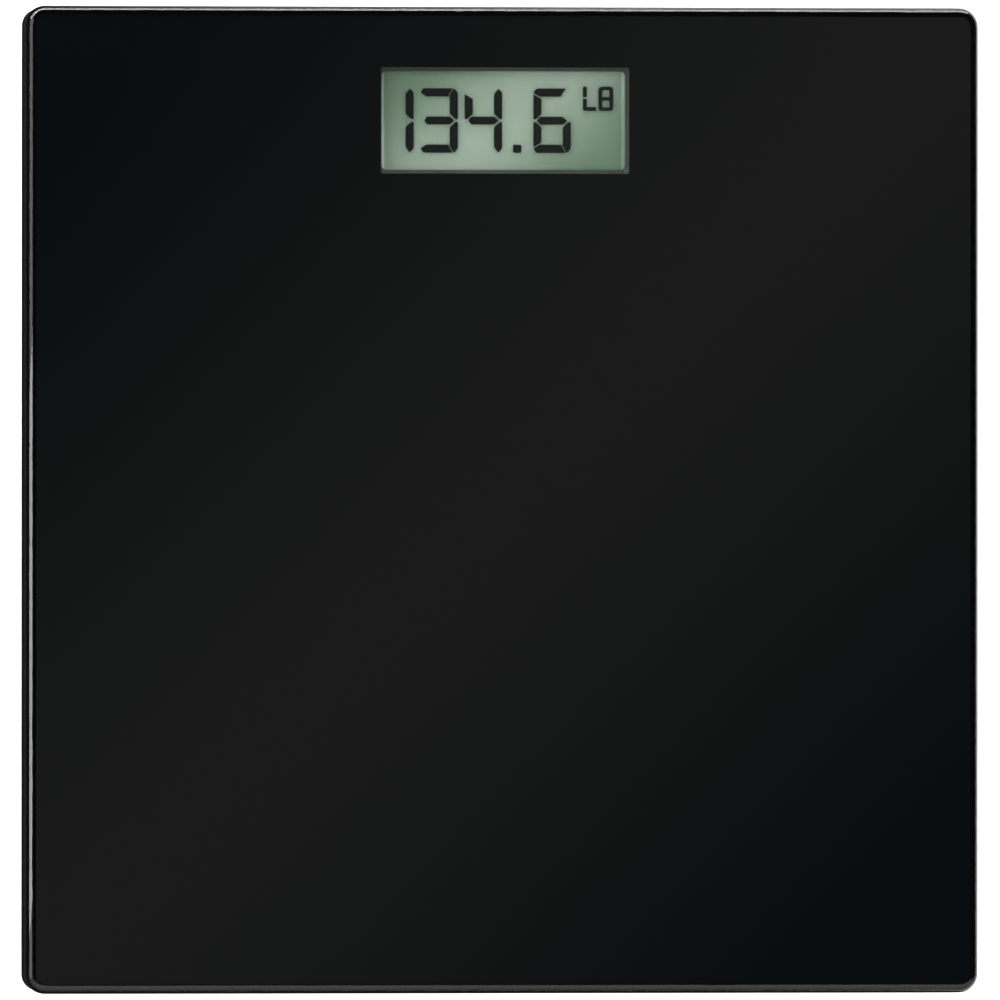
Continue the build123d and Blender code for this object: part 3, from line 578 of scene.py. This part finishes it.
dress(["chip_blob"], cured_resin("black_glob_top_epoxy", "#0c0c0c", "#171717", 2 * MM, 0.2, 0.4))
dress(["board_capacitors"], cured_resin("tan_ceramic_chips", "#a07b52", "#b48f66", 0.6 * MM, 0.45, 0.0))

# ---------------------------------------------------------------- load cells
# A stamped and nickel-plated spring steel frame whose tongue the foot bends. A strain gauge on the
# tongue's neck is sealed under white silicone, and three enamel-fine wires in PVC run to the board.
rolled = worked_metal("rolled_nickel_plated_steel", "#b9bbbd", "#a2a5a8", 0.2 * MM, 0.3, 12)
dress([f"load_cell_{corner}" for corner in CORNERS], rolled)
silicone = cured_resin("white_rtv_silicone", "#e6e5df", "#d8d6ce", 1.5 * MM, 0.5, 0.0)
dress([f"gauge_potting_{corner}" for corner in CORNERS], silicone)
black_pvc = cured_resin("black_pvc_insulation", "#141414", "#1d1d1d", 3 * MM, 0.4, 0.0)
dress([f"load_cell_wires_{corner}" for corner in CORNERS] + ["battery_lead_black"], black_pvc)

# ---------------------------------------------------------------- foot pads
# Thermoplastic rubber discs bonded in the feet, moulded with ring grooves and a dull bloom on the tread.
BLOOM = 6 * MM

rubber, spot = new_material("dull_moulded_rubber")
bloom = add_node(rubber, "ShaderNodeTexNoise", {"Scale": 1 / BLOOM, "Detail": 5.0}, {"Vector": spot})
tread = add_node(rubber, "ShaderNodeTexNoise", {"Scale": 1 / (0.3 * MM), "Detail": 2.0}, {"Vector": spot})
tone = add_node(
    rubber,
    "ShaderNodeMix",
    {"data_type": "RGBA", 6: linear("#2e2e2f"), 7: linear("#474748")},
    {0: bloom.outputs["Fac"]},
)
relief = add_node(
    rubber, "ShaderNodeBump", {"Strength": 0.5, "Distance": 0.03 * MM}, {"Height": tread.outputs["Fac"]}
)
pad = add_node(
    rubber,
    "ShaderNodeBsdfPrincipled",
    {"Roughness": 0.8, "Specular IOR Level": 0.35},
    {"Base Color": tone.outputs[2], "Normal": relief.outputs["Normal"]},
)
add_node(rubber, "ShaderNodeOutputMaterial", {}, {"Surface": pad.outputs[0]})
dress([f"foot_pad_{corner}" for corner in CORNERS], rubber)

# ---------------------------------------------------------------- coin cell, contacts and leads
# A lithium coin cell in its nickel-plated steel can, held between two nickel-plated spring leaves.
dress(["coin_cell"], worked_metal("pressed_nickel_plated_can", "#cfccc4", "#bcb8ae", 0.25 * MM, 0.24, 1))
spring = worked_metal("nickel_plated_spring_strip", "#c8c4b8", "#b2ad9f", 0.2 * MM, 0.28, 8)
dress(["negative_contact", "positive_contact"], spring)
dress(["battery_lead_red"], cured_resin("red_pvc_insulation", "#a01512", "#b5211c", 3 * MM, 0.4, 0.0))

# ---------------------------------------------------------------- rating label
# Satin silver polyester, stuck in a shallow recess under the tray, blank but for its printed border.
BORDER_FROM = 0.90
BORDER_TO = 0.93

low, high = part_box("rating_label")
label, spot = new_material("satin_silver_polyester")
centred = add_node(
    label,
    "ShaderNodeMapping",
    {"vector_type": "TEXTURE", "Location": (low + high) / 2, "Scale": (high - low) / 2},
    {"Vector": spot},
)
sides = add_node(label, "ShaderNodeVectorMath", {"operation": "ABSOLUTE"}, {0: centred.outputs[0]})
reach = add_node(label, "ShaderNodeSeparateXYZ", {}, {0: sides.outputs[0]})
outermost = add_node(
    label, "ShaderNodeMath", {"operation": "MAXIMUM"}, {0: reach.outputs["X"], 1: reach.outputs["Y"]}
)
past = add_node(
    label, "ShaderNodeMath", {"operation": "GREATER_THAN", 1: BORDER_FROM}, {0: outermost.outputs[0]}
)
short = add_node(label, "ShaderNodeMath", {"operation": "LESS_THAN", 1: BORDER_TO}, {0: outermost.outputs[0]})
border = add_node(
    label, "ShaderNodeMath", {"operation": "MULTIPLY"}, {0: past.outputs[0], 1: short.outputs[0]}
)
brushed = add_node(label, "ShaderNodeTexNoise", {"Scale": 1 / (0.4 * MM), "Detail": 2.0}, {"Vector": spot})
satin = add_node(
    label,
    "ShaderNodeMix",
    {"data_type": "RGBA", 6: linear("#bfc1c3"), 7: linear("#cdcfd0")},
    {0: brushed.outputs["Fac"]},
)
printed = add_node(
    label,
    "ShaderNodeMix",
    {"data_type": "RGBA", 7: linear("#222326")},
    {0: border.outputs[0], 6: satin.outputs[2]},
)
face = add_node(
    label,
    "ShaderNodeBsdfPrincipled",
    {"Roughness": 0.35, "Metallic": 0.5},
    {"Base Color": printed.outputs[2]},
)
add_node(label, "ShaderNodeOutputMaterial", {}, {"Surface": face.outputs[0]})
dress(["rating_label"], label)

# ---------------------------------------------------------------- floor
# A plain white sweep for the scale to stand on.
FLOOR_SIDE = 120.0
FLOOR_GLOW = 0.5
MIRRORED_FLOOR = 0.08
MIRRORED_CARD = 2.4
CARD_RIGHT_FROM = 0.150
CARD_RIGHT_TO = 0.170
CARD_REAR_FROM = 0.152
CARD_REAR_TO = 0.160
CARD_BEGINS = -0.16
CARD_WHOLE = 0.06

sweep, spot = new_material("white_studio_floor")
paper = add_node(sweep, "ShaderNodeTexNoise", {"Scale": 3.0, "Detail": 2.0}, {"Vector": spot})
white = add_node(
    sweep,
    "ShaderNodeMix",
    {"data_type": "RGBA", 6: linear("#f7f7f6"), 7: linear("#fbfbfa")},
    {0: paper.outputs["Fac"]},
)
# lit from below as well, so that the shadows stay pale
matt_white = add_node(
    sweep,
    "ShaderNodeBsdfPrincipled",
    {
        "Roughness": 0.9,
        "Specular IOR Level": 0.1,
        "Emission Color": linear("#ffffff"),
        "Emission Strength": FLOOR_GLOW,
    },
    {"Base Color": white.outputs[2]},
)
# the scale mirrors it only dimly, but for white cards laid close along its right and its rear
place = add_node(sweep, "ShaderNodeSeparateXYZ", {}, {0: spot})
beside = add_node(
    sweep,
    "ShaderNodeMapRange",
    {"From Min": CARD_RIGHT_FROM, "From Max": CARD_RIGHT_TO},
    {"Value": place.outputs["X"]},
)
behind = add_node(
    sweep,
    "ShaderNodeMapRange",
    {"From Min": CARD_REAR_FROM, "From Max": CARD_REAR_TO},
    {"Value": place.outputs["Y"]},
)
begun = add_node(
    sweep,
    "ShaderNodeMapRange",
    {"From Min": CARD_BEGINS, "From Max": CARD_WHOLE},
    {"Value": place.outputs["X"]},
)
rear_card = add_node(
    sweep, "ShaderNodeMath", {"operation": "MULTIPLY"}, {0: behind.outputs[0], 1: begun.outputs[0]}
)
cards = add_node(
    sweep, "ShaderNodeMath", {"operation": "MAXIMUM"}, {0: beside.outputs[0], 1: rear_card.outputs[0]}
)
mirrored_light = add_node(
    sweep,
    "ShaderNodeMapRange",
    {"To Min": MIRRORED_FLOOR, "To Max": MIRRORED_CARD},
    {"Value": cards.outputs[0]},
)
dim_white = add_node(
    sweep, "ShaderNodeEmission", {"Color": linear("#f2f6f0")}, {"Strength": mirrored_light.outputs[0]}
)
path = add_node(sweep, "ShaderNodeLightPath")
seen = matt_white
for ray in ("Is Glossy Ray", "Is Transmission Ray"):
    seen = add_node(
        sweep, "ShaderNodeMixShader", {}, {0: path.outputs[ray], 1: seen.outputs[0], 2: dim_white.outputs[0]}
    )
add_node(sweep, "ShaderNodeOutputMaterial", {}, {"Surface": seen.outputs[0]})
form = bmesh.new()
bmesh.ops.create_grid(form, x_segments=1, y_segments=1, size=FLOOR_SIDE / 2)
mesh = bpy.data.meshes.new("studio_floor")
form.to_mesh(mesh)
form.free()
mesh.materials.append(sweep)
floor = bpy.data.objects.new("studio_floor", mesh)
bpy.context.scene.collection.objects.link(floor)
floor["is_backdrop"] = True

# ---------------------------------------------------------------- light
# A white room that darkens overhead, a broad soft light above, long strips at the left and the rear that
# draw the rim, and a dim card whose diagonal glow the black glass mirrors.
OVERHEAD = 2.6
OVERHEAD_SPREAD = 70
LIT_Z = 0.02
MIRRORED_ROOM = 0.03
CARD_HEIGHT = 3.0
CARD_SIDE = 1.1
GLOW_SCALE = 0.21

room = bpy.data.worlds.new("white_room")
room.use_nodes = True
room.node_tree.nodes.clear()
heading = add_node(room, "ShaderNodeTexCoord")
rise = add_node(room, "ShaderNodeSeparateXYZ", {}, {0: heading.outputs["Generated"]})
walls = add_node(room, "ShaderNodeBackground", {"Color": linear("#ffffff"), "Strength": 1.0})
# in the scale's own reflections the room is dark, but for a dim glow high in front
front = add_node(
    room,
    "ShaderNodeMapRange",
    {"interpolation_type": "SMOOTHSTEP", "From Min": -0.15, "From Max": -0.45},
    {"Value": rise.outputs["Y"]},
)
higher = add_node(
    room, "ShaderNodeMath", {"operation": "MULTIPLY_ADD", 1: 1.2, 2: 0.45}, {0: rise.outputs["Z"]}
)
glow = add_node(
    room, "ShaderNodeMath", {"operation": "MULTIPLY"}, {0: front.outputs["Result"], 1: higher.outputs[0]}
)
dark = add_node(room, "ShaderNodeMath", {"operation": "MAXIMUM", 1: MIRRORED_ROOM}, {0: glow.outputs[0]})
mirrored_room = add_node(
    room, "ShaderNodeBackground", {"Color": linear("#f4f6f2")}, {"Strength": dark.outputs[0]}
)
path = add_node(room, "ShaderNodeLightPath")
air = walls
for ray in ("Is Glossy Ray", "Is Transmission Ray"):
    air = add_node(
        room,
        "ShaderNodeMixShader",
        {},
        {0: path.outputs[ray], 1: air.outputs[0], 2: mirrored_room.outputs[0]},
    )
add_node(room, "ShaderNodeOutputWorld", {}, {"Surface": air.outputs[0]})
bpy.context.scene.world = room


def aim(thing, target):
    """Turns a light or the camera from where it stands towards a point."""
    thing.rotation_euler = (Vector(target) - thing.location).to_track_quat("-Z", "Y").to_euler()


overhead = bpy.data.lights.new("overhead", "SUN")
overhead.energy = OVERHEAD
overhead.angle = math.radians(OVERHEAD_SPREAD)
overhead_lamp = bpy.data.objects.new("overhead", overhead)
overhead_lamp.location = (-1.0, 1.5, 6.0)
aim(overhead_lamp, (0, 0, 0))
overhead_lamp.visible_glossy = False
overhead_lamp.visible_transmission = False
bpy.context.scene.collection.objects.link(overhead_lamp)

# each stands at the first point, lights the second, and has a length, a width and a radiance; the two at the
# rear are slim and close, so that they draw the rim without flooding the face from the front
STRIPS = {
    "left_softbox": ((-1.4, -0.055, 0.90), (0, 0), 0.22, 1.1, 5.6),
    "left_fill": ((-1.5, 0.1, 1.0), (0, 0), 1.5, 1.2, 2.4),
    "rear_strip": ((0.005, 0.2275, 0.040), (0.005, 0.155), 0.414, 0.035, 9.0),
    "rear_left_panel": ((-0.205, 0.205, 0.0465), (-0.155, 0.155), 0.055, 0.040, 8.0),
}
for name, (stand, lit, length, width, radiance) in STRIPS.items():
    strip = bpy.data.lights.new(name, "AREA")
    strip.shape = "RECTANGLE"
    strip.size = length
    strip.size_y = width
    strip.energy = radiance * math.pi * length * width
    lamp = bpy.data.objects.new(name, strip)
    lamp.location = stand
    aim(lamp, (*lit, LIT_Z))
    lamp.visible_camera = False
    bpy.context.scene.collection.objects.link(lamp)

# ---------------------------------------------------------------- camera
# It looks down on the face from a little to the left, from far off, so that upright edges stay upright.
LEAN_LEFT = math.radians(10.95)
CAMERA_AWAY = 14.0
LENS = 1658.0
SENSOR = 36.0
ROLL = math.radians(0.03)
AIMED_AT = Vector((-1.29 * MM, 0, cad_high.z))

camera = bpy.data.cameras.new("camera")
camera.lens = LENS
camera.sensor_width = SENSOR
camera.clip_end = 100.0
viewer = bpy.data.objects.new("camera", camera)
lean = Vector((-math.sin(LEAN_LEFT), 0, math.cos(LEAN_LEFT)))
viewer.location = AIMED_AT + lean * CAMERA_AWAY
# the rear of the scale is up, in the frame
right = Vector((0, 1, 0)).cross(lean).normalized()
viewer.rotation_euler = Matrix((right, lean.cross(right), lean)).transposed().to_euler()
viewer.rotation_euler.rotate_axis("Z", ROLL)
bpy.context.scene.collection.objects.link(viewer)
bpy.context.scene.camera = viewer

# the card hangs where the face mirrors it to the camera
card, spot = new_material("dim_card_with_a_diagonal_glow")
mirrored = Vector((-lean.x, 0, lean.z)) * (CARD_HEIGHT / lean.z) + Vector((0, 0, cad_high.z))
along = add_node(
    card,
    "ShaderNodeMapping",
    {
        "vector_type": "TEXTURE",
        "Location": mirrored,
        "Rotation": (0, 0, math.radians(-45)),
        "Scale": (GLOW_SCALE,) * 3,
    },
    {"Vector": spot},
)
off_crest = add_node(card, "ShaderNodeSeparateXYZ", {}, {0: along.outputs[0]})
apart = add_node(card, "ShaderNodeMath", {"operation": "ABSOLUTE"}, {0: off_crest.outputs["X"]})
crest = add_node(
    card,
    "ShaderNodeMapRange",
    {"interpolation_type": "SMOOTHSTEP", "From Min": 0.0, "From Max": 1.1, "To Min": 1.0, "To Max": 0.0},
    {"Value": apart.outputs[0]},
)
shade = add_node(
    card,
    "ShaderNodeMix",
    {"data_type": "RGBA", 6: linear("#3b4b53"), 7: linear("#7f837f")},
    {0: crest.outputs["Result"]},
)
light = add_node(card, "ShaderNodeEmission", {}, {"Color": shade.outputs[2]})
add_node(card, "ShaderNodeOutputMaterial", {}, {"Surface": light.outputs[0]})
form = bmesh.new()
bmesh.ops.create_grid(form, x_segments=1, y_segments=1, size=CARD_SIDE / 2)
bmesh.ops.translate(form, vec=mirrored, verts=form.verts)
mesh = bpy.data.meshes.new("dim_card")
form.to_mesh(mesh)
form.free()
mesh.materials.append(card)
dim_card = bpy.data.objects.new("dim_card", mesh)
bpy.context.scene.collection.objects.link(dim_card)
dim_card.visible_shadow = False
dim_card.visible_diffuse = False
dim_card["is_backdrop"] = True

bpy.context.scene.view_settings.view_transform = "Standard"
bpy.context.scene.cycles.transparent_max_bounces = 24

low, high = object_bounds()
